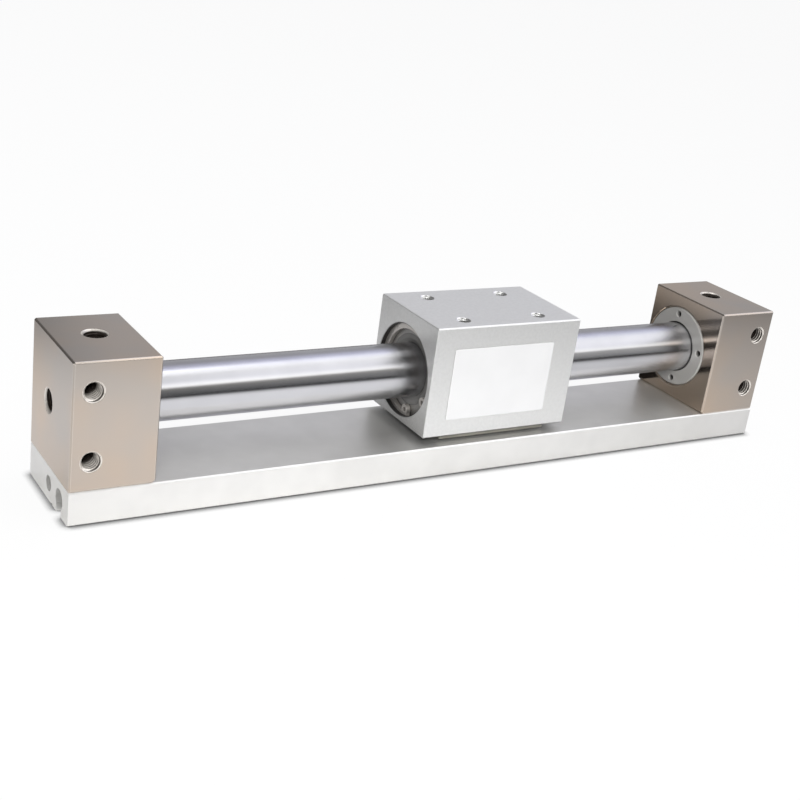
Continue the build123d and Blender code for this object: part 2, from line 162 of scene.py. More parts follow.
@dataclass(frozen=True)
class Finish:
    """One real finish: a base material and the process that left its surface.

    The fine grain and the slow mottle are both noise in object space. The grain varies the relief
    and the roughness, the mottle varies the colour between two tones, and the edges show a third,
    lighter tone, partly rubbed metal and partly painted highlight. Painted shade darkens holes, the
    bore and the corners near other parts.
    """

    name: str
    tone: str
    deep_tone: str
    grain: Grain
    grain_mm: float
    relief_mm: float
    roughness: float
    roughness_spread: float = 0.05
    mottle_mm: float = 9.0
    metallic: float = 1.0
    edge_tone: str | None = None
    edge_mm: float = 0.12
    coat: float = 0.0
    ior: float = 1.5
    subsurface: float = 0.0
    anisotropy: float = 0.0
    hole_shade_tone: str | None = None
    bore_shade_tone: str | None = None
    corner_shade_tone: str | None = None
    corner_shade_mm: float = 6.0
    corner_shade_ends: tuple[float, float] = (0.85, 0.3)

    def build(self) -> bpy.types.Material:
        """Make the material.

        Returns:
            A new node material with this finish.
        """
        material = bpy.data.materials.new(self.name)
        material.use_nodes = True
        tree = material.node_tree
        tree.nodes.clear()
        place = add_node(tree, "ShaderNodeTexCoord").outputs["Object"]
        grain_place = self.turned(tree, place) if self.grain is Grain.TURNED else place
        grain = self.noise(tree, grain_place, self.grain.value, self.grain_mm, GRAIN_OCTAVES)
        rounded = None
        if self.edge_tone is not None:
            bevel = add_node(
                tree,
                "ShaderNodeBevel",
                {"samples": BEVEL_SAMPLES},
                {"Radius": self.edge_mm * MM},
            )
            rounded = bevel.outputs["Normal"]
        colour: RGBA | bpy.types.NodeSocket = to_linear(self.deep_tone)
        for share, tone in self.layers(tree, place, grain, rounded):
            layer = add_node(
                tree,
                "ShaderNodeMix",
                {"data_type": "RGBA"},
                {0: share, 6: colour, 7: to_linear(tone)},
            )
            colour = layer.outputs[2]
        rough = add_node(
            tree,
            "ShaderNodeMapRange",
            inputs={
                "Value": grain,
                "From Min": GRAIN_ENDS[0],
                "From Max": GRAIN_ENDS[1],
                "To Min": self.roughness - self.roughness_spread,
                "To Max": self.roughness + self.roughness_spread,
            },
        )
        bump = add_node(
            tree,
            "ShaderNodeBump",
            inputs={"Height": grain, "Distance": self.relief_mm * MM, "Strength": 1.0},
        )
        if rounded is not None:
            tree.links.new(rounded, bump.inputs["Normal"])
        shader = add_node(
            tree,
            "ShaderNodeBsdfPrincipled",
            inputs={
                "Base Color": colour,
                "Metallic": self.metallic,
                "Roughness": rough.outputs["Result"],
                "Normal": bump.outputs["Normal"],
                "Coat Weight": self.coat,
                "Subsurface Weight": self.subsurface,
                "Anisotropic": self.anisotropy,
            },
        )
        if self.metallic < 1.0:
            shader.inputs["IOR"].default_value = self.ior
        if self.anisotropy:
            along = add_node(tree, "ShaderNodeCombineXYZ", inputs={"X": 1.0})
            tree.links.new(along.outputs["Vector"], shader.inputs["Tangent"])
        add_node(tree, "ShaderNodeOutputMaterial", inputs={"Surface": shader.outputs["BSDF"]})
        return material

    def layers(
        self,
        tree: bpy.types.NodeTree,
        place: bpy.types.NodeSocket,
        grain: bpy.types.NodeSocket,
        rounded: bpy.types.NodeSocket | None,
    ) -> list[tuple[bpy.types.NodeSocket, str]]:
        """List what lies over the deep tone, from the lowest layer up.

        Args:
            tree: node tree of the material.
            place: socket with the place on the piece.
            grain: socket with the fine noise.
            rounded: socket with the rounded normal, on a finish whose edges wear.

        Returns:
            For each layer the socket with its share, from 0 to 1, and its tone.
        """
        mottle = add_node(
            tree,
            "ShaderNodeMapRange",
            inputs={
                "Value": self.noise(tree, place, EVEN_STRETCH, self.mottle_mm, MOTTLE_OCTAVES),
                "From Min": MOTTLE_ENDS[0],
                "From Max": MOTTLE_ENDS[1],
            },
        )
        layers = [(mottle.outputs["Result"], self.tone)]
        # Holes are painted darker inwards and in their thread's roots, as painted shade
        if self.hole_shade_tone is not None:
            dark = add_node(tree, "ShaderNodeAttribute", {"attribute_name": DARKNESS})
            layers.append((dark.outputs["Fac"], self.hole_shade_tone))
        # Edges painted lighter: partly rubbed metal, partly painted highlight
        if self.edge_tone is not None and rounded is not None:
            layers.append((self.worn_and_highlit_edges(tree, grain, rounded), self.edge_tone))
        # The bore is painted dark grey, as the shade inside it
        if self.bore_shade_tone is not None:
            inside = add_node(
                tree,
                "ShaderNodeMapRange",
                inputs={
                    "Value": self.radius(tree, place),
                    "From Min": BORE_RADIUS + BORE_ENDS[0],
                    "From Max": BORE_RADIUS + BORE_ENDS[1],
                },
            )
            layers.append((inside.outputs["Result"], self.bore_shade_tone))
        # Painted shade where other parts lie close, found by an occlusion node
        if self.corner_shade_tone is not None:
            layers.append((self.corner_shade(tree), self.corner_shade_tone))
        return layers

    def radius(
        self, tree: bpy.types.NodeTree, place: bpy.types.NodeSocket
    ) -> bpy.types.NodeSocket:
        """Find how far a place is from the tube's axis.

        Args:
            tree: node tree of the material.
            place: socket with the place on the piece.

        Returns:
            The socket with the radius.
        """
        away = add_node(
            tree,
            "ShaderNodeVectorMath",
            {"operation": "SUBTRACT"},
            {0: place, 1: (0.0, AXIS.y, AXIS.z)},
        )
        across = add_node(
            tree,
            "ShaderNodeVectorMath",
            {"operation": "MULTIPLY"},
            {0: away.outputs["Vector"], 1: (0.0, 1.0, 1.0)},
        )
        length = add_node(
            tree, "ShaderNodeVectorMath", {"operation": "LENGTH"}, {0: across.outputs["Vector"]}
        )
        return length.outputs["Value"]

    def turned(
        self, tree: bpy.types.NodeTree, place: bpy.types.NodeSocket
    ) -> bpy.types.NodeSocket:
        """Turn a place into its x and its radius, which are the same all round a turned piece.

        Args:
            tree: node tree of the material.
            place: socket with the place on the piece.

        Returns:
            The socket with x and the radius from the tube's axis.
        """
        axes = add_node(tree, "ShaderNodeSeparateXYZ", inputs={0: place})
        turned = add_node(
            tree,
            "ShaderNodeCombineXYZ",
            inputs={"X": axes.outputs["X"], "Y": self.radius(tree, place)},
        )
        return turned.outputs["Vector"]

    def noise(
        self,
        tree: bpy.types.NodeTree,
        place: bpy.types.NodeSocket,
        stretch: tuple[float, float, float],
        size_mm: float,
        octaves: float,
    ) -> bpy.types.NodeSocket:
        """Add noise whose blobs have a real size.

        Args:
            tree: node tree of the material.
            place: socket with the place on the piece.
            stretch: scale of the pattern along each axis.
            size_mm: width of one blob.
            octaves: how many layers of finer noise it has.

        Returns:
            The socket with the noise, about 0.5 on average.
        """
        scaled = add_node(tree, "ShaderNodeMapping", inputs={"Vector": place, "Scale": stretch})
        texture = add_node(
            tree,
            "ShaderNodeTexNoise",
            inputs={
                "Vector": scaled.outputs["Vector"],
                "Scale": 1.0 / (size_mm * MM),
                "Detail": octaves,
                "Roughness": OCTAVE_SHARE,
            },
        )
        return texture.outputs["Fac"]

    def corner_shade(self, tree: bpy.types.NodeTree) -> bpy.types.NodeSocket:
        """Find where the surface lies close to another, where painted shade darkens it.

        Args:
            tree: node tree of the material.

        Returns:
            The socket with the share of painted shade: 0 in the open, 1 where little of the sky is
            seen.
        """
        open_share = add_node(
            tree,
            "ShaderNodeAmbientOcclusion",
            {"samples": CORNER_SHADE_SAMPLES},
            {"Distance": self.corner_shade_mm * MM},
        )
        film = add_node(
            tree,
            "ShaderNodeMapRange",
            inputs={
                "Value": open_share.outputs["AO"],
                "From Min": self.corner_shade_ends[0],
                "From Max": self.corner_shade_ends[1],
            },
        )
        return film.outputs["Result"]

    def worn_and_highlit_edges(
        self,
        tree: bpy.types.NodeTree,
        grain: bpy.types.NodeSocket,
        rounded: bpy.types.NodeSocket,
    ) -> bpy.types.NodeSocket:
        """Find the edges, painted lighter partly as rubbed metal and partly as painted highlight:
        there a rounded normal leaves the true one. The grain makes the edges uneven.

        Args:
            tree: node tree of the material.
            grain: socket with the fine noise.
            rounded: socket with the rounded normal.

        Returns:
            The socket with the share of the lighter edge tone, from 0 to 1.
        """
        true = add_node(tree, "ShaderNodeNewGeometry")
        likeness = add_node(
            tree,
            "ShaderNodeVectorMath",
            {"operation": "DOT_PRODUCT"},
            {0: rounded, 1: true.outputs["Normal"]},
        )
        uneven = add_node(
            tree, "ShaderNodeMath", {"operation": "MULTIPLY"}, {0: grain, 1: UNEVEN_EDGE}
        )
        edge = add_node(
            tree,
            "ShaderNodeMath",
            {"operation": "ADD"},
            {0: likeness.outputs["Value"], 1: uneven.outputs["Value"]},
        )
        worn_and_lit = add_node(
            tree,
            "ShaderNodeMapRange",
            inputs={"Value": edge.outputs["Value"], "From Min": EDGE_START, "From Max": EDGE_FULL},
        )
        return worn_and_lit.outputs["Result"]


# Finishes, by the record's material slot. Each comment says what the finish gives the eye. Real
# pits and tool marks are finer than a pixel, so each grain_mm is as coarse as it needs to show.
FINISHES: dict[str, Finish] = {
    # Long faint die lines under a clear anodic film: silver white, with soft streaks along the rail
    # Its edges are painted a little lighter, partly as rubbed metal and partly as painted highlight
    "rail_anodised": Finish(
        "clear_anodised_aluminium_extruded", "#F4F3F0", "#EEEDEA", Grain.DRAWN, grain_mm=0.25,
        relief_mm=0.002, roughness=0.36, metallic=0.8, edge_tone="#F8F8F7",
    ),
    # Glass beads leave even sparkle, which the clear film softens to a pale satin. The bore is
    # painted dark grey and the corners near other parts darker, both as painted shade, and the
    # edges a little lighter, partly as rubbed metal and partly as painted highlight.
    "slider_anodised": Finish(
        "clear_anodised_aluminium_bead_blasted", "#F5F5F3", "#F0F0EE", Grain.BLASTED,
        grain_mm=0.28, relief_mm=0.012, roughness=0.45, mottle_mm=0.7, metallic=0.82,
        edge_tone="#F8F8F5", bore_shade_tone="#4A4948", corner_shade_tone="#4E4D4B", corner_shade_mm=7.0,
        corner_shade_ends=(0.75, 0.25),
    ),
    # Nickel phosphorus on a fine milled block: warm champagne, smooth enough to mirror the tube;
    # its edges painted lighter, partly as rubbed plating and partly as painted highlight
    "cover_nickel": Finish(
        "electroless_nickel_on_milled_aluminium", "#D3C0AD", "#C6BDB4", Grain.MILLED,
        grain_mm=0.35, relief_mm=0.0003, roughness=0.10, roughness_spread=0.015, mottle_mm=22.0,
        edge_tone="#FFF9F0", edge_mm=0.2,
    ),
    # Centreless ground and polished: its marks run round it, so reflections stay crisp round the
    # tube and smear along it
    "tube_stainless": Finish(
        "stainless_steel_centreless_ground", "#D7D7DA", "#D2D2D5", Grain.TURNED, grain_mm=0.25,
        relief_mm=0.0002, roughness=0.25, roughness_spread=0.02, anisotropy=0.9,
    ),
    # Turned face with fine rings and a thin dull film: flat pale grey
    "ring_anodised": Finish(
        "aluminium_turned_and_anodised", "#DAD8D3", "#CECCC8", Grain.TURNED, grain_mm=0.2,
        relief_mm=0.001, roughness=0.42, metallic=0.6,
    ),
    # Stamped strip with a light phosphate and oil: brownish silver, with small glints on its lugs
    # painted as lighter edges, partly rubbed metal and partly painted highlight
    "spring_steel": Finish(
        "spring_steel_phosphated", "#D9D4CE", "#CDC8C2", Grain.BLASTED, grain_mm=0.3,
        relief_mm=0.002, roughness=0.34, metallic=0.8, edge_tone="#EFE9E2",
    ),
    # Moulded and never touched again: near black with a low even sheen
    "seal_rubber": Finish(
        "nitrile_rubber_moulded", "#232325", "#1C1C1E", Grain.MOULDED, grain_mm=0.4,
        relief_mm=0.004, roughness=0.5, metallic=0.0, ior=1.52,
    ),
    # Ground to size after moulding: dull grey with faint rings
    "scraper_rubber": Finish(
        "grey_nitrile_rubber_ground", "#757472", "#6B6A68", Grain.TURNED, grain_mm=0.3,
        relief_mm=0.003, roughness=0.45, metallic=0.0, ior=1.52,
    ),
    # Cast in a smooth mould: amber, and a little light goes into it
    "bumper_urethane": Finish(
        "urethane_cast", "#B98E3E", "#A87F35", Grain.MOULDED, grain_mm=0.6, relief_mm=0.002,
        roughness=0.35, metallic=0.0, subsurface=0.2,
    ),
    # Turned from bar: ivory with fine rings
    "wear_resin": Finish(
        "acetal_turned", "#E2DCCB", "#D8D1BE", Grain.TURNED, grain_mm=0.3, relief_mm=0.002,
        roughness=0.4, metallic=0.0, ior=1.48,
    ),
    # Turned and left bare: soft grey rings, with painted shade near the scraper and the circlip
    "holder_aluminium": Finish(
        "aluminium_turned", "#BDBBB8", "#B2B0AD", Grain.TURNED, grain_mm=0.2, relief_mm=0.001,
        roughness=0.42, metallic=0.85, corner_shade_tone="#4C4A48", corner_shade_mm=3.0,
    ),
    # Ground between centres: bright, with rings too fine to see one by one
    "shaft_stainless": Finish(
        "stainless_steel_ground", "#C8C8CC", "#BFBFC4", Grain.TURNED, grain_mm=0.2,
        relief_mm=0.001, roughness=0.22,
    ),
    # Turned washers with thin zinc: cool grey, half bright
    "yoke_steel": Finish(
        "low_carbon_steel_zinc_plated", "#B9BCC0", "#AEB1B6", Grain.TURNED, grain_mm=0.25,
        relief_mm=0.001, roughness=0.33,
    ),
    # Magnet powder pressed in resin: dry, dull and brownish grey
    "switch_magnet": Finish(
        "ferrite_bonded_in_resin", "#8C8A80", "#7E7C73", Grain.BLASTED, grain_mm=0.3,
        relief_mm=0.004, roughness=0.6, metallic=0.0, ior=1.55,
    ),
    # Barrel plated rings: warm silver with a faint orange peel
    "magnet_nickel": Finish(
        "sintered_magnet_nickel_plated", "#BDB9B2", "#B3AFA8", Grain.BLASTED, grain_mm=0.3,
        relief_mm=0.001, roughness=0.25,
    ),
    # Matt white film, a touch raised, with a soft sheen from the low coat
    "label_film": Finish(
        "polyester_film_matt_white", "#E3E3E3", "#E0E0E0", Grain.MOULDED, grain_mm=0.5,
        relief_mm=0.001, roughness=0.45, metallic=0.0, ior=1.57, coat=0.1,
    ),
    # Turned from bar: yellow, bright along its rings
    "piston_brass": Finish(
        "brass_turned", "#D9B66A", "#CFAA5C", Grain.TURNED, grain_mm=0.2, relief_mm=0.001,
        roughness=0.25,
    ),
    # Hot oxide and oil: blue black with a dark gleam
    "screw_steel": Finish(
        "alloy_steel_black_oxide", "#3A3A3C", "#2E2E30", Grain.TURNED, grain_mm=0.25,
        relief_mm=0.002, roughness=0.38,
    ),
}

# Finishes inside the holes. Each hole is painted darker inwards, and its thread's roots dark, as
# painted shade, while its crests catch the light.
HOLE_FINISHES: dict[str, Finish] = {
    # Bright warm crests, painted paler than the plating outside as painted highlight, over roots
    # and depths painted brown black as shade
    "cover_nickel": Finish(
        "electroless_nickel_on_cut_thread", "#F6F0E8", "#ECE5DC", Grain.BLASTED, grain_mm=0.3,
        relief_mm=0.001, roughness=0.3, metallic=0.55, hole_shade_tone="#2E2722",
    ),
    # White glints at the mouth, where the cut metal faces the light; deeper in, painted dark as
    # shade
    "slider_anodised": Finish(
        "clear_anodised_aluminium_cut_thread", "#F4F4F2", "#EEEEEC", Grain.BLASTED, grain_mm=0.3,
        relief_mm=0.001, roughness=0.3, hole_shade_tone="#33332F",
    ),
    # A pale rim round a dark dot of painted shade
    "ring_anodised": Finish(
        "aluminium_drilled_and_anodised", "#E2E0DB", "#D8D6D2", Grain.BLASTED, grain_mm=0.3,
        relief_mm=0.001, roughness=0.3, metallic=0.6, hole_shade_tone="#2A2825",
    ),
}


@dataclass(frozen=True)
class Hole:
    """A drilled hole: chamfered mouth, a wall with or without a thread, and perhaps a drill tip.

    The thread's ridges stand from root_radius, at which the CAD hole is cut, in to crest_radius.
    """

    mouth_radius: float
    root_radius: float
    crest_radius: float
    pitch: float
    depth: float
    dark_from: float = 0.0
    dark_to: float = 1.0 * MM
    root_shade: float = 0.0
    blind: bool = True
    around: int = 64
    rows_per_pitch: int = 14

    def surface(self) -> tuple[np.ndarray, list[np.ndarray], np.ndarray]:
        """Work out the hole's lining as a closed skin, with its mouth at the origin, down -Z.

        At angle t and depth s the phase is s / pitch - t / turn, and u is its distance from the
        nearest whole number. The ridge is 1 where u is under CREST_END, falls straight to 0 at
        FLANK_END, and rises to 1 again over the run-out of the last turn. The inner radius is
        root - (root - crest) * ridge, or that of the 45 degree mouth cone where the cone is wider.
        The skin's outer side lies just inside the metal.

        Returns:
            Vertices as an N by 3 array, faces as arrays of indices, and the painted shade at each
            vertex: 0 down to dark_from, 1 from dark_to on, and in the thread at least the root
            share times the smaller of 1 and 2 * (1 - ridge).
        """
        rows = max(FEWEST_ROWS, int(self.depth / self.pitch * self.rows_per_pitch))
        depth = np.linspace(0.0, self.depth, rows)[:, None]
        angle = 2 * np.pi * np.arange(self.around)[None, :] / self.around
        phase = depth / self.pitch - angle / (2 * np.pi)
        off_crest = np.abs(phase - np.round(phase))
        ridge = np.clip((FLANK_END - off_crest) / (FLANK_END - CREST_END), 0.0, 1.0)
        past_thread = (depth - self.depth + self.pitch) / (RUN_OUT * self.pitch)
        ridge = np.maximum(ridge, np.clip(past_thread, 0.0, 1.0))
        wall = self.root_radius - (self.root_radius - self.crest_radius) * ridge
        cone = self.mouth_radius - depth
        inner = np.maximum(wall, cone) - SKIN
        # Painted shade in the thread's roots
        painted_root_shade = self.root_shade * np.clip(2.0 * (1.0 - ridge), 0.0, 1.0)
        painted_root_shade = np.where(wall > cone, painted_root_shade, 0.0)
        outer_depth = np.array([0.0, self.mouth_radius - self.root_radius, self.depth]) + SKIN
        outer = np.array([self.mouth_radius, self.root_radius, self.root_radius]) + SKIN
        radius = np.vstack([inner[::-1], np.repeat(outer[:, None], self.around, axis=1)])
        depth = np.vstack([depth[::-1], outer_depth[:, None]])
        x, y = radius * np.cos(angle), radius * np.sin(angle)
        z = np.broadcast_to(-depth, radius.shape)
        vertices = np.stack([x, y, z], axis=-1).reshape(-1, 3)
        if self.blind:
            tip = -self.depth - self.crest_radius * DRILL_TIP
            vertices = np.vstack([vertices, [[0.0, 0.0, tip], [0.0, 0.0, tip - SKIN]]])
            faces = capped_faces(len(radius), self.around)
        else:
            faces = [closed_faces(len(radius), self.around)]
        # Painted shade that grows with depth into the hole
        darkness = (-vertices[:, 2] - self.dark_from) / (self.dark_to - self.dark_from)
        darkness = np.clip(darkness, 0.0, 1.0)
        darkness[: painted_root_shade.size] = np.maximum(darkness[: painted_root_shade.size], painted_root_shade[::-1].ravel())
        return vertices, faces, darkness


def closed_faces(rows: int, columns: int) -> np.ndarray:
    """Join a grid into quads, its last row to its first and its last column to its first.

    Args:
        rows: number of rings of vertices.
        columns: vertices in each ring.

    Returns:
        One quad of indices for each vertex of the grid.
    """
    row, column = np.meshgrid(np.arange(rows), np.arange(columns), indexing="ij")
    below, beside = (row + 1) % rows, (column + 1) % columns
    corners = [row * columns + column, below * columns + column]
    corners += [below * columns + beside, row * columns + beside]
    return np.stack(corners, axis=-1).reshape(-1, 4)


def capped_faces(rows: int, columns: int) -> list[np.ndarray]:
    """Join a grid whose columns close, with a fan to a pole at its first row and at its last.

    Args:
        rows: number of rings of vertices. The two poles come after them.
        columns: vertices in each ring.

    Returns:
        Quads between the rings, then the triangles of either fan.
    """
    quads = closed_faces(rows, columns)[: (rows - 1) * columns]
    column = np.arange(columns)
    beside = (column + 1) % columns
    first, last = rows * columns, (rows - 1) * columns
    start = np.stack([column, beside, np.full(columns, first)], axis=-1)
    end = np.stack([last + beside, last + column, np.full(columns, first + 1)], axis=-1)
    return [quads, start, end]


# A hole, the centre of its mouth and the direction it is drilled in
Drilled = tuple[Hole, Vector, Vector]


def aimed(vertices: np.ndarray, mouth: Vector, inward: Vector) -> np.ndarray:
    """Turn a hole made down -Z so that it goes inward from its mouth.

    Args:
        vertices: N by 3 array.
        mouth: centre of the hole's mouth.
        inward: direction in which the hole is drilled.

    Returns:
        The moved vertices.
    """
    turn = Vector((0.0, 0.0, -1.0)).rotation_difference(inward).to_matrix()
    return vertices @ np.array(turn).T + np.array(mouth)


def add_holes(name: str, places: list[Drilled]) -> bpy.types.Object:
    """Line several holes with one smooth mesh that carries the painted shade of each hole.

    Args:
        name: name of the piece.
        places: the holes.

    Returns:
        The object, linked to the scene, at the origin.
    """
    vertices, faces, darkness, count = [], [], [], 0
    for hole, mouth, inward in places:
        points, polygons, dark = hole.surface()
        vertices.append(aimed(points, mouth, inward))
        for group in polygons:
            faces += (group + count).tolist()
        darkness.append(dark)
        count += len(points)
    mesh = bpy.data.meshes.new(name)
    mesh.from_pydata(np.vstack(vertices).tolist(), [], faces)
    mesh.polygons.foreach_set("use_smooth", np.ones(len(mesh.polygons), dtype=bool))
    shade = mesh.attributes.new(DARKNESS, "FLOAT", "POINT")
    shade.data.foreach_set("value", np.concatenate(darkness))
    mesh.update()
    piece = bpy.data.objects.new(name, mesh)
    bpy.context.scene.collection.objects.link(piece)
    return piece


class Paintshop:
    """Builds each finish once and gives it to the pieces that have it."""

    def __init__(self) -> None:
        """Start with no material made."""
        self.made: dict[str, bpy.types.Material] = {}

    def dress(self, piece: bpy.types.Object, slot: str, finish: Finish | None = None) -> None:
        """Give a piece a finish, and a piece with no material slot one to hold it.

        Args:
            piece: a CAD node or a new piece.
            slot: one of the record's material slots.
            finish: the finish, if it isn't the slot's own.
        """
        finish = finish or FINISHES[slot]
        if finish.name not in self.made:
            self.made[finish.name] = finish.build()
        if not piece.material_slots:
            piece.data.materials.append(self.made[finish.name])
        for place in piece.material_slots:
            place.material = self.made[finish.name]
        LOG.info("%s: %s", piece.name, finish.name)


class Side(Enum):
    """End of the cylinder, as the sign of X."""

    LEFT = -1
    RIGHT = 1


@dataclass(frozen=True)
class EndCover:
    """An end cover with its fixing ring: the holes of both that show.

    The mounting holes are painted darker, as painted shade, between the depths in mount_dark, which
    differ from end to end, as the light reaches deeper into the left ones.
    """

    side: Side
    mount_dark: tuple[float, float]
    port: Hole = Hole(
        mouth_radius=2.6 * MM, root_radius=2.5 * MM, crest_radius=2.08 * MM, pitch=0.8 * MM,
        depth=4.48 * MM, dark_to=0.6 * MM, root_shade=0.9, blind=False,
    )
    mount: Hole = Hole(
        mouth_radius=2.15 * MM, root_radius=2.0 * MM, crest_radius=1.63 * MM, pitch=0.7 * MM,
        depth=6.0 * MM, root_shade=0.95,
    )
    spanner: Hole = Hole(
        mouth_radius=0.9 * MM, root_radius=0.75 * MM, crest_radius=0.75 * MM, pitch=1.0 * MM,
        depth=1.6 * MM, dark_from=0.2 * MM, dark_to=1.2 * MM, around=32, rows_per_pitch=8,
    )
    mount_from_end: float = 4.0 * MM
    mount_spacing: float = 14.0 * MM
    spanner_circle: float = 8.2 * MM
    spanner_first_angle: float = 6.7
    spanner_count: int = 4

    @property
    def prefix(self) -> str:
        """First word of this cover's pieces."""
        return self.side.name.lower()

    def tapped_places(self) -> list[Drilled]:
        """Place the ports and mounting holes.

        Returns:
            The port in the end, the port in the top and the mounting holes from the lower one up.
        """
        low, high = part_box(f"{self.prefix}_cover")
        sign = self.side.value
        outer_x = high.x if sign > 0 else low.x
        places = [
            (self.port, Vector((outer_x, AXIS.y, AXIS.z)), Vector((-sign, 0, 0))),
            (self.port, Vector(((low.x + high.x) / 2, AXIS.y, high.z)), Vector((0, 0, -1))),
        ]
        mount = replace(self.mount, dark_from=self.mount_dark[0], dark_to=self.mount_dark[1])
        x = outer_x - sign * self.mount_from_end
        for half in (-0.5, 0.5):
            mouth = (x, low.y, AXIS.z + half * self.mount_spacing)
            places.append((mount, Vector(mouth), Vector((0, 1, 0))))
        return places

    def spanner_places(self) -> list[Drilled]:
        """Place the fixing ring's spanner holes.

        Returns:
            The holes at equal angles, from the first, which is near the top.
        """
        low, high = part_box(f"{self.prefix}_fixing_ring")
        face_x = low.x if self.side.value > 0 else high.x
        places = []
        for number in range(self.spanner_count):
            angle = math.radians(self.spanner_first_angle + 360.0 * number / self.spanner_count)
            y, z = self.spanner_circle * math.sin(angle), self.spanner_circle * math.cos(angle)
            mouth = Vector((face_x, AXIS.y + y, AXIS.z + z))
            places.append((self.spanner, mouth, Vector((self.side.value, 0, 0))))
        return places

    def build(self, shop: Paintshop) -> None:
        """Make and dress the threads of the cover and the spanner holes of its ring.

        Args:
            shop: where the pieces get their finish.
        """
        threads = add_holes(f"{self.prefix}_cover_threads", self.tapped_places())
        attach(threads, "frame")
        shop.dress(threads, "cover_nickel", HOLE_FINISHES["cover_nickel"])
        spanner_holes = add_holes(f"{self.prefix}_spanner_holes", self.spanner_places())
        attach(spanner_holes, "frame")
        shop.dress(spanner_holes, "ring_anodised", HOLE_FINISHES["ring_anodised"])


@dataclass(frozen=True)
class Slider:
    """The slider's body with its four tapped holes on top."""

    hole: Hole = Hole(
        mouth_radius=1.7 * MM, root_radius=1.5 * MM, crest_radius=1.24 * MM, pitch=0.5 * MM,
        depth=4.0 * MM, dark_from=1.0 * MM, dark_to=2.8 * MM, around=56, rows_per_pitch=12,
    )
    spacing_x: float = 20.0 * MM
    spacing_y: float = 15.0 * MM

    def tapped_places(self) -> list[Drilled]:
        """Place the tapped holes.

        Returns:
            The four holes, whose middle is the middle of the slider's top.
        """
        low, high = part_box("slider_body")
        centre = (low + high) / 2
        places = []
        for x in (-0.5, 0.5):
            for y in (-0.5, 0.5):
                mouth = (centre.x + x * self.spacing_x, centre.y + y * self.spacing_y, high.z)
                places.append((self.hole, Vector(mouth), Vector((0, 0, -1))))
        return places

    def build(self, shop: Paintshop) -> None:
        """Make and dress the threads of the top holes.

        Args:
            shop: where the piece gets its finish.
        """
        threads = add_holes("slider_threads", self.tapped_places())
        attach(threads, "slider")
        shop.dress(threads, "slider_anodised", HOLE_FINISHES["slider_anodised"])


@dataclass(frozen=True)
class SkyBand:
    """Brightness of the studio at one elevation round the tube: on its left, middle and right.

    The elevation runs from 0 at the front horizon over 90 overhead to 180 at the back horizon.
    """

    elevation: float
    left: str
    middle: str
    right: str


@dataclass(frozen=True)
class Lamp:
    """A square soft lamp that looks at the middle of the object. Metal may mirror it or not."""

    name: str
    place: tuple[float, float, float]
    size: float
    watts: float
    mirrored: bool = True


@dataclass(frozen=True)
class Patch:
    """A soft patch on the floor: depth / (1 + u to its power) / (1 + v to its power).

    Here u and v are the distances from the centre along X and Y over the patch's size.
    """

    centre: tuple[float, float]
    size: tuple[float, float]
    powers: tuple[float, float]
    depth: float = 1.0


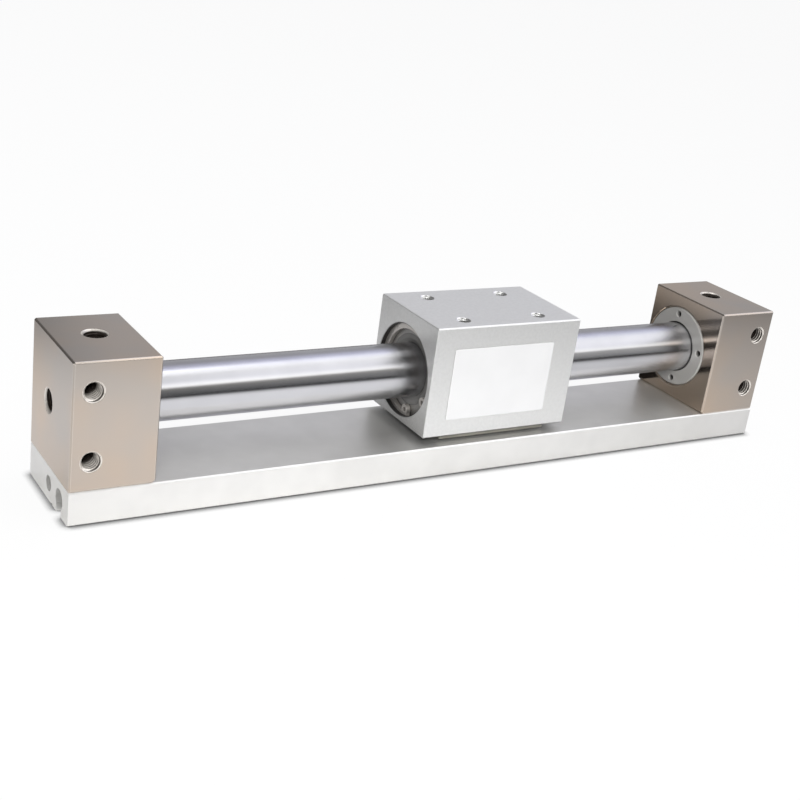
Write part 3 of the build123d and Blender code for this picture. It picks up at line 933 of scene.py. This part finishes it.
@dataclass(frozen=True)
class Studio:
    """White floor with a painted pool of light and painted shadows, banded soft light round the
    tube, lamps front left and above, and the camera.

    The bands are the light and dark panels that the tube and the covers mirror.
    """

    level: float = 1.6
    bands: tuple[SkyBand, ...] = (
        SkyBand(-180.0, "#555556", "#9C9C9D", "#9C9C9D"),
        SkyBand(-8.0, "#303030", "#4A4A4B", "#4A4A4B"),
        SkyBand(4.0, "#303030", "#454546", "#8C8C8C"),
        SkyBand(16.0, "#3A3A3A", "#585858", "#A0A0A0"),
        SkyBand(27.0, "#404040", "#6A675F", "#A8A8A8"),
        SkyBand(31.0, "#F4F4F4", "#746F66", "#B0B0B0"),
        SkyBand(34.0, "#FFFFFF", "#F2F0EA", "#F8F8F6"),
        SkyBand(39.0, "#FFFFFF", "#FCFCFB", "#ECECEC"),
        SkyBand(52.0, "#6A6A6A", "#FBFBFF", "#DCDCE2"),
        SkyBand(62.0, "#454545", "#FBFBFE", "#E8E8EE"),
        SkyBand(77.0, "#4E4E4E", "#FCFCFC", "#EFEFF4"),
        SkyBand(92.0, "#5C5C5C", "#FAFAFB", "#E4E5EC"),
        SkyBand(101.0, "#606060", "#E6E8F6", "#CFD1DE"),
        SkyBand(113.0, "#646464", "#CBCCE1", "#B2B3C6"),
        SkyBand(137.0, "#5C5C5D", "#939398", "#8A8A8E"),
        SkyBand(180.0, "#555556", "#9C9C9D", "#9C9C9D"),
    )
    left_ends: tuple[float, float] = (0.20, 0.34)
    right_starts: tuple[float, float] = (0.50, 0.63)
    floor_half: float = 4.0
    floor_colour: str = "#F4F4F4"
    floor_glow: float = 0.9
    # The floor as the object sees it: a painted pool of light, with painted shadows of the object
    pool_colour: str = "#F1F1F1"
    pool: Patch = Patch((-0.02, -0.01), (0.23, 0.11), (2.0, 4.0))
    shadows: tuple[Patch, ...] = (
        Patch((0.042, 0.022), (0.06, 0.024), (6.0, 4.0), 0.92),
        Patch((0.035, 0.06), (0.045, 0.04), (6.0, 6.0), 0.85),
    )
    # Painted contact shadow beside the object, found by an occlusion node
    contact_reach: float = 0.002
    contact_ends: tuple[float, float] = (0.45, 0.98)
    contact_darkest: float = 0.12
    lamps: tuple[Lamp, ...] = (
        Lamp("front_left_lamp", (-0.37, -0.61, 0.40), 0.28, 5.1, mirrored=False),
        Lamp("top_lamp", (-0.10, 0.05, 1.00), 0.50, 2.0),
    )
    camera_place: tuple[float, float, float] = (-0.159412, -0.226624, 0.120573)
    camera_heading: float = 33.596
    camera_dip: float = 21.626
    camera_roll: float = 7.965
    camera_lens_mm: float = 59.249
    camera_sensor_mm: float = 36.0
    camera_reach: tuple[float, float] = (0.01, 20.0)

    def build(self) -> None:
        """Make the world, floor, lamps and camera."""
        self.build_world()
        self.build_floor()
        for lamp in self.lamps:
            self.build_lamp(lamp)
        self.build_camera()
        bpy.context.scene.view_settings.view_transform = "Standard"

    def build_world(self) -> None:
        """Make the sky: bands by elevation round X, mixed by how far a direction leans along X.

        Camera rays see plain white instead.
        """
        world = bpy.data.worlds.new("studio")
        bpy.context.scene.world = world
        world.use_nodes = True
        tree = world.node_tree
        tree.nodes.clear()
        direction = add_node(tree, "ShaderNodeTexCoord").outputs["Generated"]
        axes = add_node(tree, "ShaderNodeSeparateXYZ", inputs={0: direction})
        forward = add_node(
            tree, "ShaderNodeMath", {"operation": "MULTIPLY"}, {0: axes.outputs["Y"], 1: -1.0}
        )
        elevation = add_node(
            tree,
            "ShaderNodeMath",
            {"operation": "ARCTAN2"},
            {0: axes.outputs["Z"], 1: forward.outputs["Value"]},
        )
        turn = add_node(
            tree,
            "ShaderNodeMapRange",
            inputs={
                "Value": elevation.outputs["Value"],
                "From Min": -math.pi,
                "From Max": math.pi,
            },
        )
        left, middle, right = (
            self.add_ramp(tree, turn.outputs["Result"], side)
            for side in ("left", "middle", "right")
        )
        lean = axes.outputs["X"]
        colour = self.mix_along_x(tree, lean, self.left_ends, left, middle)
        colour = self.mix_along_x(tree, lean, self.right_starts, colour, right)
        light = add_node(
            tree, "ShaderNodeBackground", inputs={"Color": colour, "Strength": self.level}
        )
        white = add_node(tree, "ShaderNodeBackground", inputs={"Color": WHITE, "Strength": 1.0})
        seen = add_node(tree, "ShaderNodeLightPath").outputs["Is Camera Ray"]
        chosen = add_node(
            tree,
            "ShaderNodeMixShader",
            inputs={0: seen, 1: light.outputs["Background"], 2: white.outputs["Background"]},
        )
        add_node(tree, "ShaderNodeOutputWorld", inputs={"Surface": chosen.outputs["Shader"]})

    def add_ramp(
        self, tree: bpy.types.NodeTree, turn: bpy.types.NodeSocket, side: str
    ) -> bpy.types.NodeSocket:
        """Add the colour ramp of one side of the sky.

        Args:
            tree: node tree of the world.
            turn: socket with the elevation, from 0 at the back horizon round to it again at 1.
            side: which of a band's colours the ramp has.

        Returns:
            The socket with the colour.
        """
        ramp = add_node(tree, "ShaderNodeValToRGB", inputs={"Fac": turn})
        stops = ramp.color_ramp.elements
        stops.remove(stops[1])
        for number, band in enumerate(self.bands):
            position = (band.elevation + 180.0) / 360.0
            stop = stops[0] if number == 0 else stops.new(position)
            stop.position = position
            stop.color = to_linear(getattr(band, side))
        return ramp.outputs["Color"]

    def mix_along_x(
        self,
        tree: bpy.types.NodeTree,
        lean: bpy.types.NodeSocket,
        span: tuple[float, float],
        before: bpy.types.NodeSocket,
        after: bpy.types.NodeSocket,
    ) -> bpy.types.NodeSocket:
        """Blend softly from one colour to the next as the lean along X grows over a span.

        Args:
            tree: node tree of the world.
            lean: socket with the direction's X.
            span: lean at which the blend begins and ends.
            before: socket with the colour below the span.
            after: socket with the colour above it.

        Returns:
            The socket with the blended colour.
        """
        share = add_node(
            tree,
            "ShaderNodeMapRange",
            {"interpolation_type": "SMOOTHSTEP"},
            {"Value": lean, "From Min": span[0], "From Max": span[1]},
        )
        mix = add_node(
            tree,
            "ShaderNodeMix",
            {"data_type": "RGBA"},
            {0: share.outputs["Result"], 6: before, 7: after},
        )
        return mix.outputs[2]

    def add_patch(self, tree: bpy.types.NodeTree, patch: Patch) -> bpy.types.NodeSocket:
        """Add a soft patch on the floor.

        Args:
            tree: node tree of the floor's material.
            patch: its place, its size and how steeply it ends.

        Returns:
            The socket with the patch's share, which is its depth at its centre.
        """
        place = add_node(tree, "ShaderNodeTexCoord").outputs["Object"]
        away = add_node(
            tree,
            "ShaderNodeMapping",
            {"vector_type": "TEXTURE"},
            {"Vector": place, "Location": (*patch.centre, 0.0), "Scale": (*patch.size, 1.0)},
        )
        size = add_node(
            tree, "ShaderNodeVectorMath", {"operation": "ABSOLUTE"}, {0: away.outputs["Vector"]}
        )
        axes = add_node(tree, "ShaderNodeSeparateXYZ", inputs={0: size.outputs["Vector"]})
        share: bpy.types.NodeSocket | float = patch.depth
        for axis, power in zip("XY", patch.powers):
            grown = add_node(
                tree, "ShaderNodeMath", {"operation": "POWER"}, {0: axes.outputs[axis], 1: power}
            )
            plus_one = add_node(
                tree, "ShaderNodeMath", {"operation": "ADD"}, {0: grown.outputs["Value"], 1: 1.0}
            )
            divided = add_node(
                tree,
                "ShaderNodeMath",
                {"operation": "DIVIDE"},
                {0: share, 1: plus_one.outputs["Value"]},
            )
            share = divided.outputs["Value"]
        return share

    def add_pool(self, tree: bpy.types.NodeTree) -> bpy.types.NodeSocket:
        """Add the floor as the object sees it: a painted pool of light with the object's shadows
        painted in it.

        Args:
            tree: node tree of the floor's material.

        Returns:
            The socket with the pool's colour, black outside it.
        """
        share = self.add_patch(tree, self.pool)
        for shadow in self.shadows:
            lit = add_node(
                tree,
                "ShaderNodeMath",
                {"operation": "SUBTRACT"},
                {0: 1.0, 1: self.add_patch(tree, shadow)},
            )
            left_over = add_node(
                tree,
                "ShaderNodeMath",
                {"operation": "MULTIPLY"},
                {0: share, 1: lit.outputs["Value"]},
            )
            share = left_over.outputs["Value"]
        pool = add_node(
            tree,
            "ShaderNodeMix",
            {"data_type": "RGBA"},
            {0: share, 6: BLACK, 7: to_linear(self.pool_colour)},
        )
        return pool.outputs[2]

    def build_floor(self) -> None:
        """Make the floor: a white sheet that keeps the shadow.

        The object itself, but not the camera, sees it as a painted pool of light, with the object's
        own shadow painted behind it. The camera sees white paper with a painted contact shadow
        right beside the object, darkest where the gap under the rail would hide it from the light.
        """
        corner = self.floor_half
        corners = [(-corner, -corner, 0), (corner, -corner, 0), (corner, corner, 0)]
        corners.append((-corner, corner, 0))
        mesh = bpy.data.meshes.new("floor")
        mesh.from_pydata(corners, [], [(0, 1, 2, 3)])
        floor = bpy.data.objects.new("floor", mesh)
        bpy.context.scene.collection.objects.link(floor)
        material = bpy.data.materials.new("white_paper")
        material.use_nodes = True
        tree = material.node_tree
        tree.nodes.clear()
        seen = add_node(tree, "ShaderNodeLightPath").outputs["Is Camera Ray"]
        open_share = add_node(
            tree,
            "ShaderNodeAmbientOcclusion",
            {"samples": CONTACT_SAMPLES},
            {"Distance": self.contact_reach},
        )
        contact = add_node(
            tree,
            "ShaderNodeMapRange",
            inputs={
                "Value": open_share.outputs["AO"],
                "From Min": self.contact_ends[0],
                "From Max": self.contact_ends[1],
                "To Min": self.contact_darkest,
                "To Max": 1.0,
            },
        )
        white = add_node(
            tree,
            "ShaderNodeVectorMath",
            {"operation": "SCALE"},
            {0: to_linear(self.floor_colour)[:3], "Scale": contact.outputs["Result"]},
        )
        colour = add_node(
            tree,
            "ShaderNodeMix",
            {"data_type": "RGBA"},
            {0: seen, 6: self.add_pool(tree), 7: white.outputs["Vector"]},
        )
        paper = add_node(tree, "ShaderNodeBsdfDiffuse", inputs={"Color": colour.outputs[2]})
        glow = add_node(
            tree,
            "ShaderNodeEmission",
            inputs={"Color": contact.outputs["Result"], "Strength": 1.0},
        )
        glow_share = add_node(
            tree, "ShaderNodeMath", {"operation": "MULTIPLY"}, {0: seen, 1: self.floor_glow}
        )
        sheet = add_node(
            tree,
            "ShaderNodeMixShader",
            inputs={
                0: glow_share.outputs["Value"],
                1: paper.outputs["BSDF"],
                2: glow.outputs["Emission"],
            },
        )
        add_node(tree, "ShaderNodeOutputMaterial", inputs={"Surface": sheet.outputs["Shader"]})
        mesh.materials.append(material)

    def build_lamp(self, lamp: Lamp) -> None:
        """Make a lamp and aim it at the middle of the object.

        Args:
            lamp: its place, size and power.
        """
        low, high = CAD_BOX
        light = bpy.data.lights.new(lamp.name, "AREA")
        light.shape = "SQUARE"
        light.size = lamp.size
        light.energy = lamp.watts
        place = Vector(lamp.place)
        aim = ((low + high) / 2 - place).to_track_quat("-Z", "Y")
        light_object = self.add(light, Matrix.Translation(place) @ aim.to_matrix().to_4x4())
        light_object.visible_glossy = lamp.mirrored

    def build_camera(self) -> None:
        """Make the camera: turned from +Y to its heading, dipped, then rolled about its axis."""
        camera = bpy.data.cameras.new("camera")
        camera.lens = self.camera_lens_mm
        camera.sensor_width = self.camera_sensor_mm
        camera.clip_start, camera.clip_end = self.camera_reach
        turn = Matrix.Rotation(-math.radians(self.camera_heading), 4, "Z")
        dip = Matrix.Rotation(math.radians(90.0 - self.camera_dip), 4, "X")
        roll = Matrix.Rotation(math.radians(self.camera_roll), 4, "Z")
        place = Matrix.Translation(self.camera_place) @ turn @ dip @ roll
        bpy.context.scene.camera = self.add(camera, place)

    def add(self, data: bpy.types.ID, place: Matrix) -> bpy.types.Object:
        """Link a lamp or camera to the scene.

        Args:
            data: the lamp or camera.
            place: its place and direction.

        Returns:
            The new object.
        """
        thing = bpy.data.objects.new(data.name, data)
        thing.matrix_world = place
        bpy.context.scene.collection.objects.link(thing)
        return thing


def main() -> None:
    """Build every sub-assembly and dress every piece."""
    shop = Paintshop()
    slot_of = {part["node"]: part["material_slot"] for part in frame["record"]["subparts"]}
    for node, piece in frame["nodes"].items():
        shop.dress(piece, slot_of[node])
    EndCover(Side.LEFT, mount_dark=(1.9 * MM, 4.0 * MM)).build(shop)
    EndCover(Side.RIGHT, mount_dark=(0.6 * MM, 2.2 * MM)).build(shop)
    Slider().build(shop)
    Studio().build()


if __name__ == "__main__":
    logging.basicConfig(level=logging.INFO, format="%(message)s")
    main()
